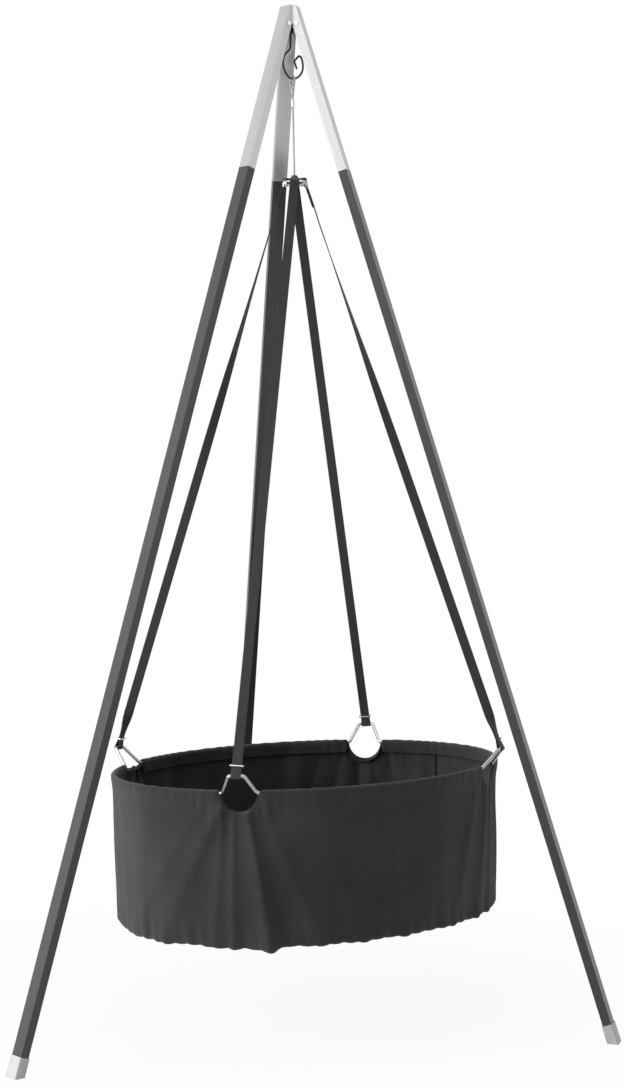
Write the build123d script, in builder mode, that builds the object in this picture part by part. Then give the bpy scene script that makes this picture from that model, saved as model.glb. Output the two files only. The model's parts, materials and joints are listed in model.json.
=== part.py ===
"""Hanging cradle: an oval cloth basket on four webbing straps under a folding three-legged stand.

Millimetres, +Z up, floor at Z = 0. The rear leg points to +Y, so -Y is the open front.
"""

import os
from math import acos, cos, degrees, radians, sin, sqrt, tan

from build123d import *

os.makedirs("parts", exist_ok=True)

# ---------------------------------------------------------------- stand sizes
stand_height = 1850.0
leg_splay = 18.0  # degrees between a leg and the upright
leg_top_radius = 5.0  # a leg's centre line from the stand's axis, at the very top
leg_width = 26.0  # across the leg, along the floor circle
leg_depth = 16.0  # from a leg's inner face to its outer face
bar_length = 317.0  # aluminium bar, along the leg
bar_wall = 2.0
bar_top_wall = 8.0  # metal left above the bar's bore
mitre_gap = 0.1  # between two neighbouring bars' mitre faces
mitre_run = 50.0  # how far out a mitre is cut, past the bar's outer corners
mitre_drop = 120.0  # below the top, past where the bars part
tenon_length = 60.0
tenon_fit = 0.1  # between the wooden tenon and the bar's bore, all round
cap_wall = 2.0
cap_height = 34.0
cap_floor = 8.0  # cap left below the pole's end, along the leg
cap_fit = 0.1
cap_corner = 2.5

# ---------------------------------------------------------------- hub and fold hinges
pivot_drop = 34.0  # fold bolts below the top
bolt_radius = 2.5
bolt_fit = 0.05  # running clearance of a bolt in its holes
bolt_head_radius = 3.8
bolt_head_height = 1.8
bolt_head_round = 0.9
nut_height = 2.6
nut_cover = 0.8  # nut left over the bolt's end
ear_thickness = 8.0
ear_radius = 5.4
ear_half_neck = 4.5
ear_slot_width = 9.0
ear_slot_above = 10.0
ear_slot_below = 16.0
hub_radius = 5.6
hub_bottom_drop = 48.0
screw_radius = 1.5
screw_head_radius = 2.6
screw_head_height = 1.2
screw_length = 8.0
screw_above_joint = 20.0
screw_fit = 0.05
screw_spare = 0.2  # hole left past the screw's end

# ---------------------------------------------------------------- pigtail hook
hook_wire_radius = 1.9
hook_turn = 15.0  # degrees from +X to the plane of the hook
hook_fit = 0.05
hook_nut_radius = 4.0
hook_nut_height = 3.4
shank_end_drop = 70.0  # where the straight shank ends and the coil starts
saddle_reach = 4.0  # lowest point of the hook from the stand's axis
saddle_drop = 129.6

# ---------------------------------------------------------------- cable and spreader
thimble_inner_radius = 6.0
thimble_thickness = 1.4
thimble_width = 4.0
thimble_length = 27.0  # from the centre of its arc to its point
thimble_toe = 6.0  # solid metal between the opening and the point
thimble_fit = 0.3  # under the eye's crown at its middle; the curved wire rises towards the eye's edges
cable_radius = 1.6
ferrule_radius = 3.2
ferrule_length = 14.0
ferrule_gap = 0.8  # below the point where the eye's two sides meet
ring_drop = 318.0
ring_side = 38.0  # centre line to centre line
ring_turn = -11.0  # degrees from +X to the ring's sides
ring_rod_radius = 2.0
ring_corner = 5.0
cap_arm_width = 9.0
cap_arm_thickness = 4.0
cap_dome_radius = 12.5
cap_dome_height = 11.0
cap_dome_top_radius = 4.2
cap_boss_radius = 9.5  # fills the middle of the ring, between cap and plate
plate_thickness = 3.0
cable_way_radius = 3.2
ball_radius = 5.0
ball_seat_fit = 0.05
ball_bore_fit = 0.05  # the ball turns on the end of the cable

# ---------------------------------------------------------------- basket
basket_turn = 18.0  # degrees from +X to the basket's long axis
basket_length = 730.0  # rim, centre of the rim rod to centre
basket_width = 596.0
rim_height = 462.0
wall_height = 262.0
wall_thickness = 3.0
wall_taper = 0.977  # bottom outline as a share of the rim outline
hem_radius = 5.2
hem_end_gap = 2.0  # from a scoop's edge to where the hem's cloth ends
rim_rod_radius = 3.2
rod_fit = 0.15
base_cloth_thickness = 2.0
board_thickness = 4.0
board_margin = 10.0
mattress_thickness = 38.0
mattress_margin = 12.0
mattress_corner = 12.0
scoop_radius = 33.5
binding_thickness = 7.0
binding_width = 4.5
binding_overlap = 2.0  # part of the binding's width that lies outside the scoop's edge

# ---------------------------------------------------------------- corner links and straps
link_offset_long = 255.0  # link centre from the basket's centre, along the long axis
link_half_base = 30.0
link_half_top = 13.0
link_length = 44.0
link_lean = 40.0  # degrees outward from upright
link_stub = 30.0  # length of the rod's end that slides into the hem
link_bend = 6.0
link_elbow = 6.5  # run of the bend at each end where a link's leg turns into the rim
strap_width = 17.0
strap_thickness = 1.8
strap_fit = 0.3
loop_neck = 3.2  # a loop's neck, in loop radii from the bar it goes round
loop_seam = 8.0  # the end of the neck where its two layers are sewn flat
loop_slit = 0.1  # between the two layers where the loop closes
ring_loop_reach = 9.0  # the doubled strap starts this far from the ring's rod
link_loop_reach = 13.0  # and ends this far from the link's top bar
ring_tail_length = 48.0  # the turned-back end that is sewn to the strap
link_tail_length = 84.0
tail_taper = 8.0  # over which a tail's end thins out
link_turn_reach = 24.0  # below this, from the link's top bar, the strap lies square with the bar
strap_turns = ((0.35, 0.38), (0.60, 0.75))  # part of the strap's run, part of its quarter turn made by there
keeper_rise = 17.0  # keeper above the link's top bar
keeper_wire_radius = 1.4
keeper_play = 1.0

# ---------------------------------------------------------------- how the cradle hangs
rest_lean = 1.33  # degrees off the stand's upright
rest_lean_towards = -11.0  # degrees from +X

# ---------------------------------------------------------------- cuts
overcut = 20.0  # how far a cut runs past what it cuts
wide = 200.0  # wider than any leg or scoop that a cut trims

# ---------------------------------------------------------------- derived places
leg_azimuths = {"left": 210.0, "right": 330.0, "rear": 90.0}
splay = radians(leg_splay)
leg_length = stand_height / cos(splay)
foot_radius = leg_top_radius + stand_height * tan(splay)
sole_reach = foot_radius + (leg_depth / 2 + cap_wall) / cos(splay)
sole_half_width = leg_width / 2 + cap_wall
front_reach = sole_reach * sin(radians(30)) + sole_half_width * cos(radians(30))
axis_y = -(sole_reach - front_reach) / 2
pivot_along = pivot_drop / cos(splay)
hub_top = stand_height - pivot_drop + ear_half_neck

UP = Vector(0, 0, 1)
stand_axis = Vector(0, axis_y, 0)


def towards(azimuth):
    return Vector(cos(radians(azimuth)), sin(radians(azimuth)), 0)


def along_leg(azimuth):
    return towards(azimuth) * sin(splay) - UP * cos(splay)


def off_leg(azimuth):
    return towards(azimuth) * cos(splay) + UP * sin(splay)


def leg_point(azimuth, along, out=0.0):
    top = stand_axis + towards(azimuth) * leg_top_radius + UP * stand_height
    return top + along_leg(azimuth) * along + off_leg(azimuth) * out


def leg_plane(azimuth, along, out=0.0):
    return Plane(origin=leg_point(azimuth, along, out), x_dir=off_leg(azimuth), z_dir=along_leg(azimuth))


def side_plane(azimuth, along, across):
    """Plane square to a leg's sides, its normal pointing along the floor circle."""
    sideways = UP.cross(towards(azimuth))
    origin = leg_point(azimuth, along) + sideways * across
    return Plane(origin=origin, x_dir=along_leg(azimuth), z_dir=sideways)


# ================================================================ the three legs
def make_bar(azimuth):
    inner_depth, inner_width = leg_depth - 2 * bar_wall, leg_width - 2 * bar_wall
    apex = mitre_gap / (2 * sin(radians(60)))
    mitre_side = mitre_run * tan(radians(60))
    with BuildPart() as bar:
        with BuildSketch(leg_plane(azimuth, -overcut)):
            Rectangle(leg_depth, leg_width)
        extrude(amount=bar_length + overcut)
        with BuildSketch(leg_plane(azimuth, bar_top_wall)):
            Rectangle(inner_depth, inner_width)
        extrude(amount=bar_length, mode=Mode.SUBTRACT)
        with BuildSketch(Plane(origin=(0, axis_y, stand_height))):
            Rectangle(wide, wide)
        extrude(amount=2 * overcut, mode=Mode.SUBTRACT)
        mitre = Plane(origin=(0, axis_y, stand_height - mitre_drop), x_dir=towards(azimuth), z_dir=UP)
        with BuildSketch(mitre):
            with BuildLine():
                Polyline(
                    (apex, 0), (apex + mitre_run, mitre_side), (-wide / 2, mitre_side),
                    (-wide / 2, -mitre_side), (apex + mitre_run, -mitre_side), close=True,
                )
            make_face()
        extrude(amount=mitre_drop + overcut, mode=Mode.SUBTRACT)
        with BuildSketch(leg_plane(azimuth, pivot_along - ear_slot_above, -leg_depth / 2 + bar_wall / 2)):
            Rectangle(2 * bar_wall, ear_slot_width)
        extrude(amount=ear_slot_above + ear_slot_below, mode=Mode.SUBTRACT)
        with BuildSketch(side_plane(azimuth, pivot_along, 0)):
            Circle(bolt_radius + bolt_fit)
        extrude(amount=leg_width, both=True, mode=Mode.SUBTRACT)
        with BuildSketch(screw_plane(azimuth, leg_depth / 2 + bar_wall / 2)):
            Circle(screw_radius + screw_fit)
        extrude(amount=2 * bar_wall, mode=Mode.SUBTRACT)
    return bar.part


def screw_plane(azimuth, inward):
    """Plane on the inner side of the bar with its normal pointing out of the stand."""
    origin = leg_point(azimuth, bar_length - screw_above_joint, -inward)
    return Plane(origin=origin, x_dir=along_leg(azimuth), z_dir=off_leg(azimuth))


def make_pole(azimuth):
    shrink = 2 * (bar_wall + tenon_fit)
    with BuildPart() as pole:
        with BuildSketch(leg_plane(azimuth, bar_length)):
            Rectangle(leg_depth, leg_width)
        extrude(amount=leg_length - cap_floor - bar_length)
        with BuildSketch(leg_plane(azimuth, bar_length)):
            Rectangle(leg_depth - shrink, leg_width - shrink)
        extrude(amount=-tenon_length)
        with BuildSketch(screw_plane(azimuth, leg_depth / 2)):
            Circle(screw_radius + screw_fit)
        extrude(amount=screw_length + screw_spare, mode=Mode.SUBTRACT)
    return pole.part


def make_foot(azimuth):
    outer_depth, outer_width = leg_depth + 2 * cap_wall, leg_width + 2 * cap_wall
    with BuildPart() as foot:
        with BuildSketch(leg_plane(azimuth, leg_length - cap_height)):
            RectangleRounded(outer_depth, outer_width, cap_corner)
        extrude(amount=cap_height + overcut)
        with BuildSketch(leg_plane(azimuth, leg_length - cap_height - overcut)):
            Rectangle(leg_depth + 2 * cap_fit, leg_width + 2 * cap_fit)
        extrude(amount=cap_height + overcut - cap_floor, mode=Mode.SUBTRACT)
        with BuildSketch(Plane(origin=(0, axis_y, 0))):
            Circle(foot_radius + wide)
        extrude(amount=-2 * overcut, mode=Mode.SUBTRACT)
    return foot.part


def make_bolt(azimuth):
    half = leg_width / 2
    with BuildPart() as bolt:
        with BuildSketch(side_plane(azimuth, pivot_along, -half)):
            Circle(bolt_radius)
        extrude(amount=leg_width + nut_height - nut_cover)
        with BuildSketch(side_plane(azimuth, pivot_along, -half)):
            Circle(bolt_head_radius)
        extrude(amount=-bolt_head_height)
        rim = bolt.edges().filter_by(GeomType.CIRCLE).sort_by(Axis(leg_point(azimuth, 0), UP.cross(towards(azimuth))))
        fillet(rim[0], bolt_head_round)
    return bolt.part


def make_nut(azimuth):
    half = leg_width / 2
    with BuildPart() as nut:
        with BuildSketch(side_plane(azimuth, pivot_along, half)):
            Circle(bolt_head_radius)
        extrude(amount=nut_height)
        with BuildSketch(side_plane(azimuth, pivot_along, half)):
            Circle(bolt_radius)
        extrude(amount=nut_height - nut_cover, mode=Mode.SUBTRACT)
    return nut.part


def make_screw(azimuth):
    with BuildPart() as screw:
        with BuildSketch(screw_plane(azimuth, leg_depth / 2)):
            Circle(screw_radius)
        extrude(amount=screw_length)
        with BuildSketch(screw_plane(azimuth, leg_depth / 2)):
            Circle(screw_head_radius)
        extrude(amount=-screw_head_height)
    return screw.part


# ================================================================ hub and hook
def make_hub():
    pivot_radius = leg_top_radius + pivot_drop * tan(splay)
    with BuildPart() as hub:
        with BuildSketch(Plane(origin=(0, axis_y, stand_height - hub_bottom_drop))):
            Circle(hub_radius)
        extrude(amount=hub_bottom_drop - pivot_drop + ear_half_neck)
        for azimuth in leg_azimuths.values():
            upright = Plane(
                origin=stand_axis + UP * (stand_height - pivot_drop),
                x_dir=towards(azimuth),
                z_dir=towards(azimuth).cross(UP),
            )
            with BuildSketch(upright):
                with Locations((pivot_radius / 2, 0)):
                    Rectangle(pivot_radius, 2 * ear_half_neck)
                with Locations((pivot_radius, 0)):
                    Circle(ear_radius)
            extrude(amount=ear_thickness / 2, both=True)
        for azimuth in leg_azimuths.values():
            with BuildSketch(side_plane(azimuth, pivot_along, 0)):
                Circle(bolt_radius + bolt_fit)
            extrude(amount=leg_width, both=True, mode=Mode.SUBTRACT)
        with BuildSketch(Plane(origin=(0, axis_y, hub_top + overcut))):
            Circle(hook_wire_radius + hook_fit)
        extrude(amount=-hub_bottom_drop - overcut, mode=Mode.SUBTRACT)
    return hub.part


hook_across = towards(hook_turn)


def hook_point(across, drop):
    return stand_axis + hook_across * across + UP * (stand_height - drop)


with BuildPart() as hook:
    with BuildLine():
        shank = Line(hook_point(0, stand_height - hub_top - hook_nut_height), hook_point(0, shank_end_drop))
        Spline(
            hook_point(0, shank_end_drop),
            hook_point(-8.5, 84),
            hook_point(-15, 104),
            hook_point(-8.5, 121.5),
            hook_point(saddle_reach, saddle_drop),
            tangents=[-UP, hook_across],
        )
        Spline(
            hook_point(saddle_reach, saddle_drop),
            hook_point(18, 124),
            hook_point(25.5, 105),
            hook_point(17.5, 88),
            hook_point(9.5, 96),
            hook_point(13, 112),
            tangents=[hook_across, hook_across * 0.35 - UP],
        )
    with BuildSketch(Plane(origin=shank @ 0, z_dir=-UP)):
        Circle(hook_wire_radius)
    sweep()

with BuildPart() as hook_nut:
    with BuildSketch(Plane(origin=(0, axis_y, hub_top))):
        RegularPolygon(hook_nut_radius, 6)
        Circle(hook_wire_radius + hook_fit, mode=Mode.SUBTRACT)
    extrude(amount=hook_nut_height)

# ================================================================ cable and its ends
saddle = hook_point(saddle_reach, saddle_drop)
hang = Vector(saddle.X, saddle.Y, 0)  # the upright line that the cradle hangs on, before it leans
eye_across = UP.cross(hook_across)
eye_centre = saddle + UP * (hook_wire_radius + thimble_fit - thimble_inner_radius)
eye_plane = Plane(origin=eye_centre, x_dir=eye_across, z_dir=eye_across.cross(UP))


def teardrop(radius, length):
    """Outline of an arc over the top with two straight sides that meet below."""
    reach = degrees(acos(radius / length))
    start = reach - 90
    x, y = radius * cos(radians(start)), radius * sin(radians(start))
    ThreePointArc((x, y), (0, radius), (-x, y))
    Polyline((-x, y), (0, -length), (x, y))


with BuildPart() as thimble:
    with BuildSketch(eye_plane):
        with BuildLine():
            teardrop(thimble_inner_radius + thimble_thickness, thimble_length)
        make_face()
    extrude(amount=thimble_width / 2, both=True)
    with BuildSketch(eye_plane):
        with BuildLine():
            teardrop(thimble_inner_radius, thimble_length - thimble_toe)
        make_face()
    extrude(amount=thimble_width, both=True, mode=Mode.SUBTRACT)

loop_radius = thimble_inner_radius + thimble_thickness + cable_radius
loop_length = thimble_length * loop_radius / (thimble_inner_radius + thimble_thickness)
loop_tip = eye_centre.Z - loop_length
ring_z = stand_height - ring_drop
plate_bottom = ring_z - ring_rod_radius - plate_thickness
ball_centre = plate_bottom - sqrt((ball_radius + ball_seat_fit) ** 2 - cable_way_radius**2)

with BuildPart() as cable:
    with BuildLine(eye_plane):
        teardrop(loop_radius, loop_length)
    with BuildSketch(Plane(origin=eye_centre + UP * loop_radius, z_dir=eye_across)):
        Circle(cable_radius)
    sweep(transition=Transition.ROUND)
    with BuildSketch(Plane(origin=Vector(hang.X, hang.Y, ball_centre))):
        Circle(cable_radius)
    extrude(amount=loop_tip - ball_centre + cable_radius)

with BuildPart() as ferrule:
    with BuildSketch(Plane(origin=Vector(hang.X, hang.Y, loop_tip - ferrule_gap))):
        Circle(ferrule_radius)
        Circle(cable_radius, mode=Mode.SUBTRACT)
    extrude(amount=-ferrule_length)

with BuildPart() as ball:
    with Locations(Vector(hang.X, hang.Y, ball_centre)):
        Sphere(ball_radius)
    with BuildSketch(Plane(origin=Vector(hang.X, hang.Y, ball_centre))):
        Circle(cable_radius + ball_bore_fit)
    extrude(amount=ball_radius + overcut, mode=Mode.SUBTRACT)

# ================================================================ spreader
spreader_plane = Plane(origin=Vector(hang.X, hang.Y, ring_z), x_dir=towards(ring_turn), z_dir=UP)
diagonal_reach = ring_side / 2 * sqrt(2) - ring_corner * (sqrt(2) - 1) + ring_rod_radius

with BuildPart() as spreader_cap:
    arm_plane = spreader_plane.offset(ring_rod_radius)
    with BuildSketch(arm_plane):
        for turn in (45, 135):
            Rectangle(2 * diagonal_reach, cap_arm_width, rotation=turn)
    extrude(amount=cap_arm_thickness)
    with BuildSketch(arm_plane):
        Circle(cap_dome_radius)
    with BuildSketch(arm_plane.offset(cap_dome_height)):
        Circle(cap_dome_top_radius)
    loft()
    with BuildSketch(spreader_plane.offset(-ring_rod_radius)):
        Circle(cap_boss_radius)
    extrude(amount=2 * ring_rod_radius)
    with BuildSketch(spreader_plane.offset(-overcut)):
        Circle(cable_way_radius)
    extrude(amount=3 * overcut, mode=Mode.SUBTRACT)

with BuildPart() as spreader_plate:
    with BuildSketch(spreader_plane.offset(-ring_rod_radius)):
        for turn in (45, 135):
            Rectangle(2 * diagonal_reach, cap_arm_width, rotation=turn)
        Circle(cap_dome_radius)
        Circle(cable_way_radius, mode=Mode.SUBTRACT)
    extrude(amount=-plate_thickness)


def rod(start, end, radius):
    """Straight round bar between two points with rounded ends."""
    with Locations(Plane(origin=start, z_dir=end - start)):
        Cylinder(radius, (end - start).length, align=(Align.CENTER, Align.CENTER, Align.MIN))
    with Locations(start, end):
        Sphere(radius)


with BuildPart() as spreader_ring:
    reach = ring_side / 2
    run = reach - ring_corner
    bend = ring_corner * (1 - cos(radians(45)))
    with BuildLine(spreader_plane):
        first = Line((reach, -run), (reach, run))
        ThreePointArc((reach, run), (reach - bend, reach - bend), (run, reach))
        Line((run, reach), (-run, reach))
        ThreePointArc((-run, reach), (bend - reach, reach - bend), (-reach, run))
        Line((-reach, run), (-reach, -run))
        ThreePointArc((-reach, -run), (bend - reach, bend - reach), (-run, -reach))
        Line((-run, -reach), (run, -reach))
        ThreePointArc((run, -reach), (reach - bend, bend - reach), (reach, -run))
    with BuildSketch(Plane(origin=first @ 0, z_dir=first % 0)):
        Circle(ring_rod_radius)
    sweep()

# ================================================================ basket
long_half, short_half = basket_length / 2, basket_width / 2
basket_floor = rim_height - wall_height


def basket_plane(height):
    return Plane(origin=Vector(hang.X, hang.Y, height), x_dir=towards(basket_turn), z_dir=UP)


def on_rim(angle):
    return basket_plane(rim_height).from_local_coords(
        Vector(long_half * cos(angle), short_half * sin(angle), 0)
    )


def rim_step(angle, distance):
    """Ellipse angle a given distance further round the rim."""
    speed = sqrt((long_half * sin(angle)) ** 2 + (short_half * cos(angle)) ** 2)
    return angle + distance / speed


def rim_normal(angle):
    out = Vector(cos(angle) / long_half, sin(angle) / short_half, 0).normalized()
    return out.rotate(Axis.Z, basket_turn)


first_corner = acos(link_offset_long / long_half)
corners = {
    "right": -first_corner,
    "back": first_corner,
    "left": radians(180) - first_corner,
    "front": radians(180) + first_corner,
}


def wall_outline(share, grow):
    Ellipse(long_half * share + grow, short_half * share + grow)


def rim_line(start, end):
    """The rim's centre line between two ellipse angles."""
    return EllipticalCenterArc((0, 0), long_half, short_half, degrees(start), arc_size=degrees(end - start))


corner_order = ["right", "back", "left", "front"]
sides = {}
for first, second in zip(corner_order, corner_order[1:] + corner_order[:1]):
    start, end = corners[first], corners[second]
    sides[f"{first}_{second}"] = (start, end if end > start else end + radians(360))

half_wall = wall_thickness / 2
wall_top = rim_height - (hem_radius + rim_rod_radius + rod_fit) / 2  # inside the hem's cloth
hem_start = sqrt(scoop_radius**2 - hem_radius**2) + hem_end_gap  # from a corner, round the rim
with BuildPart() as basket:
    with BuildSketch(basket_plane(basket_floor)):
        wall_outline(wall_taper, half_wall)
    with BuildSketch(basket_plane(wall_top)):
        wall_outline(1, half_wall)
    loft()
    with BuildSketch(basket_plane(basket_floor + base_cloth_thickness)):
        wall_outline(wall_taper, -half_wall)
    with BuildSketch(basket_plane(wall_top)):
        wall_outline(1, -half_wall)
    loft(mode=Mode.SUBTRACT)
    for angle in corners.values():
        scoop = Plane(origin=on_rim(angle), x_dir=UP.cross(rim_normal(angle)), z_dir=rim_normal(angle))
        with BuildSketch(scoop):
            Circle(scoop_radius)
        extrude(amount=overcut, both=True, mode=Mode.SUBTRACT)
    for start, end in sides.values():
        with BuildLine(basket_plane(rim_height)):
            hem = rim_line(rim_step(start, hem_start), rim_step(end, -hem_start))
        with BuildSketch(Plane(origin=hem @ 0, x_dir=UP, z_dir=hem % 0)):
            Circle(hem_radius)
            Circle(rim_rod_radius + rod_fit, mode=Mode.SUBTRACT)
        sweep()
    for angle in corners.values():
        scoop = Plane(origin=on_rim(angle), x_dir=UP.cross(rim_normal(angle)), z_dir=rim_normal(angle))
        with BuildSketch(scoop):
            Circle(scoop_radius + binding_overlap)
            Circle(scoop_radius + binding_overlap - binding_width, mode=Mode.SUBTRACT)
            with Locations((0, wide / 2 - hem_radius)):
                Rectangle(wide, wide, mode=Mode.SUBTRACT)
        extrude(amount=binding_thickness / 2, both=True)

with BuildPart() as base_board:
    with BuildSketch(basket_plane(basket_floor + base_cloth_thickness)):
        wall_outline(wall_taper, -half_wall - board_margin)
    extrude(amount=board_thickness)

mattress_bottom = basket_floor + base_cloth_thickness + board_thickness
with BuildPart() as mattress:
    with BuildSketch(basket_plane(mattress_bottom)):
        wall_outline(wall_taper, -half_wall - mattress_margin)
    extrude(amount=mattress_thickness)
    fillet(mattress.edges().filter_by(GeomType.ELLIPSE), mattress_corner)


# ================================================================ rim: corner links and the rods between them
def link_points(angle):
    """The link's two feet on the rim and the two ends of its top bar."""
    out = rim_normal(angle)
    sideways = UP.cross(out)
    feet = [on_rim(rim_step(angle, s * link_half_base)) for s in (-1, 1)]
    lean = out * sin(radians(link_lean)) + UP * cos(radians(link_lean))
    middle = (feet[0] + feet[1]) * 0.5 + lean * link_length
    return feet, [middle - sideways * link_half_top, middle + sideways * link_half_top]


def make_link(angle):
    feet, tops = link_points(angle)
    down = [(foot - top).normalized() for foot, top in zip(feet, tops)]
    elbows = [foot - way * link_elbow for foot, way in zip(feet, down)]
    near = [rim_step(angle, s * (link_half_base + link_elbow)) for s in (-1, 1)]
    far = [rim_step(angle, s * (link_half_base + link_stub)) for s in (-1, 1)]
    with BuildPart() as link:
        with BuildLine(basket_plane(rim_height)):
            first_stub = rim_line(far[0], near[0])
            Spline(first_stub @ 1, elbows[0], tangents=[first_stub % 1, -down[0]])
            FilletPolyline(elbows[0], tops[0], tops[1], elbows[1], radius=link_bend)
            second_stub = rim_line(near[1], far[1])
            Spline(elbows[1], second_stub @ 0, tangents=[down[1], second_stub % 0])
        with BuildSketch(Plane(origin=first_stub @ 0, z_dir=first_stub % 0)):
            Circle(rim_rod_radius)
        sweep()
    return link.part


def make_rim_rod(start, end):
    reach = link_half_base + link_stub
    with BuildPart() as rim_rod:
        with BuildLine(basket_plane(rim_height)):
            line = rim_line(rim_step(start, reach), rim_step(end, -reach))
        with BuildSketch(Plane(origin=line @ 0, z_dir=line % 0)):
            Circle(rim_rod_radius)
        sweep()
    return rim_rod.part


# ================================================================ straps
def make_strap(side_azimuth, angle):
    """Webbing from one side of the ring to the top bar of one link, with a sewn loop at each end."""
    _, tops = link_points(angle)
    bar_direction = (tops[1] - tops[0]).normalized()
    ring_direction = UP.cross(towards(side_azimuth))
    level_direction = towards(ring_turn)
    top = Vector(hang.X, hang.Y, ring_z) + towards(side_azimuth) * (ring_side / 2)
    bottom = (tops[0] + tops[1]) * 0.5
    along = (bottom - top).normalized()
    length = (bottom - top).length
    loops = [
        (top, ring_direction, along, ring_rod_radius),
        (bottom, bar_direction, -along, rim_rod_radius),
    ]
    if level_direction.dot(ring_direction) < 0:
        ring_direction = -ring_direction
    if level_direction.dot(bar_direction) < 0:
        bar_direction = -bar_direction
    with BuildPart() as strap:
        for centre, axis_direction, inward, bar_radius in loops:
            inner = bar_radius + strap_fit
            outer = inner + strap_thickness
            flat = inward - axis_direction * inward.dot(axis_direction)
            plane = Plane(origin=centre, x_dir=flat.normalized(), z_dir=axis_direction)
            neck = loop_neck * outer
            with BuildSketch(plane):
                Circle(outer)
                with BuildLine():
                    Polyline((0, outer), (neck, strap_thickness), (neck, -strap_thickness), (0, -outer), close=True)
                make_face()
            extrude(amount=strap_width / 2, both=True)
            with BuildSketch(plane):
                Circle(inner)
                with BuildLine():
                    tip = neck - loop_seam
                    Polyline((0, inner), (tip, loop_slit / 2), (tip, -loop_slit / 2), (0, -inner), close=True)
                make_face()
            extrude(amount=strap_width, both=True, mode=Mode.SUBTRACT)
        turning = [
            (run * length, ring_direction * (1 - turn) + level_direction * turn, 1) for run, turn in strap_turns
        ]
        stations = [
            (ring_loop_reach, ring_direction, 2),
            (ring_tail_length, ring_direction, 2),
            (ring_tail_length + tail_taper, ring_direction, 1),
            *turning,
            (length - link_tail_length - tail_taper, level_direction, 1),
            (length - link_tail_length, level_direction, 2),
            (length - link_turn_reach, bar_direction, 2),
            (length - link_loop_reach, bar_direction, 2),
        ]
        for place, direction, layers in stations:
            across = (direction - along * direction.dot(along)).normalized()
            with BuildSketch(Plane(origin=top + along * place, x_dir=across, z_dir=along)):
                Rectangle(strap_width, strap_thickness * layers)
        loft(ruled=True)
    return strap.part


def make_keeper(angle, side_azimuth):
    _, tops = link_points(angle)
    top = Vector(hang.X, hang.Y, ring_z) + towards(side_azimuth) * (ring_side / 2)
    bottom = (tops[0] + tops[1]) * 0.5
    along = (bottom - top).normalized()
    bar_direction = (tops[1] - tops[0]).normalized()
    across = (bar_direction - along * bar_direction.dot(along)).normalized()
    plane = Plane(origin=bottom - along * keeper_rise, x_dir=across, z_dir=along)
    half_width = strap_width / 2 + keeper_play + keeper_wire_radius
    half_depth = strap_thickness + keeper_play / 2 + keeper_wire_radius
    spots = [(half_width, half_depth), (-half_width, half_depth), (-half_width, -half_depth), (half_width, -half_depth)]
    points = [plane.from_local_coords(Vector(x, y, 0)) for x, y in spots]
    with BuildPart() as keeper:
        for start, end in zip(points, points[1:] + points[:1]):
            rod(start, end, keeper_wire_radius)
    return keeper.part


# ================================================================ hang the cradle and write the parts
lean_axis = Axis(saddle, UP.cross(towards(rest_lean_towards)))


def leaned(part):
    return part.rotate(lean_axis, -rest_lean)


def write(part, name):
    part.label = name
    export_step(part, f"parts/{name}.step")


write(make_hub(), "hub")
write(hook.part, "pigtail_hook")
write(hook_nut.part, "hook_nut")
for name, azimuth in leg_azimuths.items():
    write(make_bar(azimuth), f"{name}_bar")
    write(make_pole(azimuth), f"{name}_pole")
    write(make_foot(azimuth), f"{name}_foot_cap")
    write(make_bolt(azimuth), f"{name}_fold_bolt")
    write(make_nut(azimuth), f"{name}_bolt_nut")
    write(make_screw(azimuth), f"{name}_bar_screw")

write(leaned(thimble.part), "thimble")
write(leaned(cable.part), "cable")
write(leaned(ferrule.part), "cable_ferrule")
write(leaned(ball.part), "cable_ball")
write(leaned(spreader_cap.part), "spreader_cap")
write(leaned(spreader_plate.part), "spreader_plate")
write(leaned(spreader_ring.part), "spreader_ring")
write(leaned(basket.part), "basket")
write(leaned(base_board.part), "base_board")
write(leaned(mattress.part), "mattress")

ring_sides = {name: ring_turn + 90 * turn for turn, name in enumerate(corner_order)}
for name, angle in corners.items():
    write(leaned(make_link(angle)), f"{name}_link")
    write(leaned(make_strap(ring_sides[name], angle)), f"{name}_strap")
    write(leaned(make_keeper(angle, ring_sides[name])), f"{name}_keeper")
for name, (start, end) in sides.items():
    write(leaned(make_rim_rod(start, end)), f"{name}_rim_rod")
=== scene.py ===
"""The looks of a hanging cradle: cloth basket, mattress and webbing on a three-legged stand."""

import json
import math

import bmesh
import bpy
from mathutils import Matrix, Quaternion, Vector


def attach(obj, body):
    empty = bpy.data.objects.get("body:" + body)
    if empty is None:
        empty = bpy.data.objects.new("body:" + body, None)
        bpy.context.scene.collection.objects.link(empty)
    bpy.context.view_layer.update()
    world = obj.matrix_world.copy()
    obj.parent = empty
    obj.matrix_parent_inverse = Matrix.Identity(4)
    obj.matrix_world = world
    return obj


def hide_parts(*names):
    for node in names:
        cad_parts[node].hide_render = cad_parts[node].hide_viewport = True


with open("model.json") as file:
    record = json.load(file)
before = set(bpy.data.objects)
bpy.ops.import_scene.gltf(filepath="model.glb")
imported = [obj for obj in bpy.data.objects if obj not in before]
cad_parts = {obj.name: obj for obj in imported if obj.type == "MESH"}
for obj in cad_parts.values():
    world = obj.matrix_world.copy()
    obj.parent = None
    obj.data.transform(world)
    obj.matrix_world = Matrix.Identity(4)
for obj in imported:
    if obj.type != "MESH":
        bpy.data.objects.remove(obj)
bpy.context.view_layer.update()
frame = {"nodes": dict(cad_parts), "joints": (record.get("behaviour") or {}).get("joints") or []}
nodes = frame["nodes"]
joints = {joint["name"]: joint for joint in frame["joints"]}
UP = Vector((0, 0, 1))

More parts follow.
